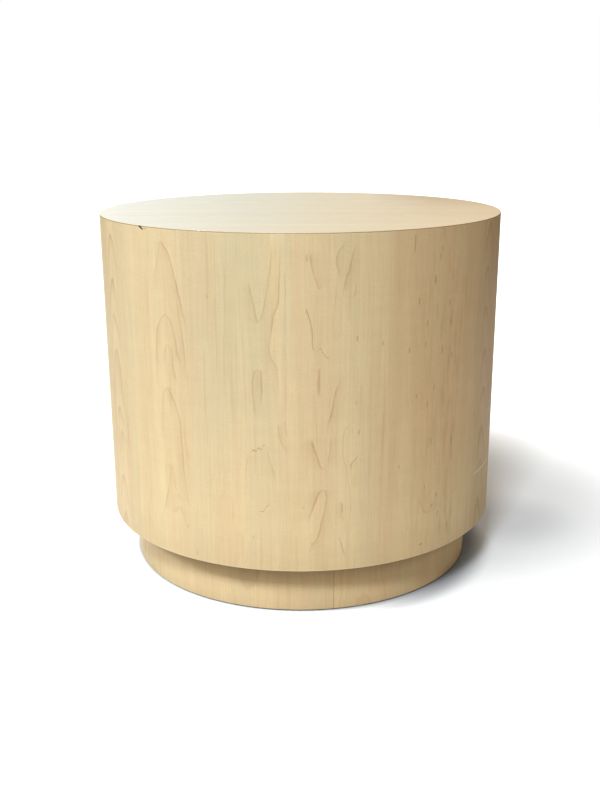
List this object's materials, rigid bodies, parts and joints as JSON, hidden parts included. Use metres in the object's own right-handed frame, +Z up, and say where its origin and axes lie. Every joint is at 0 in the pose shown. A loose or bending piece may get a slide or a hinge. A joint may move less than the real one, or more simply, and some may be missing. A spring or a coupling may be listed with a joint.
{
  "type": "drum side table",
  "caption": "Round side table: a closed, laminate-clad drum on a smaller recessed plinth, levelled by screw-in glides under the plinth.",
  "frame": {"origin": "on the floor, under the drum's axis", "axes": "+Z up along the drum's axis, -Y towards the viewer of the picture, +X to the viewer's right"},
  "size_m": [0.61, 0.61, 0.546],
  "materials": {
    "maple_laminate": "satin decorative laminate with a plain-sliced maple grain",
    "bending_plywood": "raw bending plywood",
    "birch_plywood": "raw birch plywood",
    "particle_board": "raw particle board",
    "pine": "planed pine",
    "zinc_steel": "zinc-plated",
    "nylon": "moulded black nylon"
  },
  "bodies": {
    "table": {"block_screws": "zinc_steel", "bottom_panel": "birch_plywood", "drum_inner_ply": "bending_plywood", "drum_laminate_back": "maple_laminate", "drum_laminate_front": "maple_laminate", "drum_outer_ply": "bending_plywood", "leveller_nuts": "zinc_steel", "lower_stile_1": "pine", "lower_stile_2": "pine", "lower_stile_3": "pine", "lower_stile_4": "pine", "lower_stile_5": "pine", "lower_stile_6": "pine", "lower_stile_7": "pine", "lower_stile_8": "pine", "mid_rib": "birch_plywood", "plinth_block_1": "pine", "plinth_block_2": "pine", "plinth_block_3": "pine", "plinth_block_4": "pine", "plinth_block_5": "pine", "plinth_block_6": "pine", "plinth_block_7": "pine", "plinth_block_8": "pine", "plinth_inner_ply": "bending_plywood", "plinth_laminate_long": "maple_laminate", "plinth_laminate_short": "maple_laminate", "plinth_lower_ring": "birch_plywood", "plinth_outer_ply": "bending_plywood", "plinth_screws": "zinc_steel", "plinth_upper_ring": "birch_plywood", "stile_screws": "pine", "top_core": "particle_board", "top_laminate": "maple_laminate", "top_rib": "birch_plywood", "top_screws": "zinc_steel", "upper_stile_1": "pine", "upper_stile_2": "pine", "upper_stile_3": "pine", "upper_stile_4": "pine", "upper_stile_5": "pine", "upper_stile_6": "pine", "upper_stile_7": "pine", "upper_stile_8": "pine"},
    "pad_1": {"leveller_pad_1": "nylon"},
    "stem_1": {"leveller_stem_1": "zinc_steel"},
    "pad_2": {"leveller_pad_2": "nylon"},
    "stem_2": {"leveller_stem_2": "zinc_steel"},
    "pad_3": {"leveller_pad_3": "nylon"},
    "stem_3": {"leveller_stem_3": "zinc_steel"},
    "pad_4": {"leveller_pad_4": "nylon"},
    "stem_4": {"leveller_stem_4": "zinc_steel"}
  },
  "joints": [
    {"name": "pad_1_travel", "type": "slide", "parent": "table", "child": "pad_1", "axis": [0, 0, 1], "range_m": [-0.012, 0]},
    {"name": "stem_1_turn", "type": "hinge", "parent": "pad_1", "child": "stem_1", "pos_m": [0.16412, -0.16412, 0], "axis": [0, 0, 1], "range_deg": [-3456, 0]},
    {"name": "pad_2_travel", "type": "slide", "parent": "table", "child": "pad_2", "axis": [0, 0, 1], "range_m": [-0.012, 0]},
    {"name": "stem_2_turn", "type": "hinge", "parent": "pad_2", "child": "stem_2", "pos_m": [0.16412, 0.16412, 0], "axis": [0, 0, 1], "range_deg": [-3456, 0]},
    {"name": "pad_3_travel", "type": "slide", "parent": "table", "child": "pad_3", "axis": [0, 0, 1], "range_m": [-0.012, 0]},
    {"name": "stem_3_turn", "type": "hinge", "parent": "pad_3", "child": "stem_3", "pos_m": [-0.16412, 0.16412, 0], "axis": [0, 0, 1], "range_deg": [-3456, 0]},
    {"name": "pad_4_travel", "type": "slide", "parent": "table", "child": "pad_4", "axis": [0, 0, 1], "range_m": [-0.012, 0]},
    {"name": "stem_4_turn", "type": "hinge", "parent": "pad_4", "child": "stem_4", "pos_m": [-0.16412, -0.16412, 0], "axis": [0, 0, 1], "range_deg": [-3456, 0]}
  ],
  "couplings": [
    {"joint": "pad_1_travel", "follows": "stem_1_turn", "m_per_rad": 0.00019894},
    {"joint": "pad_2_travel", "follows": "stem_2_turn", "m_per_rad": 0.00019894},
    {"joint": "pad_3_travel", "follows": "stem_3_turn", "m_per_rad": 0.00019894},
    {"joint": "pad_4_travel", "follows": "stem_4_turn", "m_per_rad": 0.00019894}
  ]
}
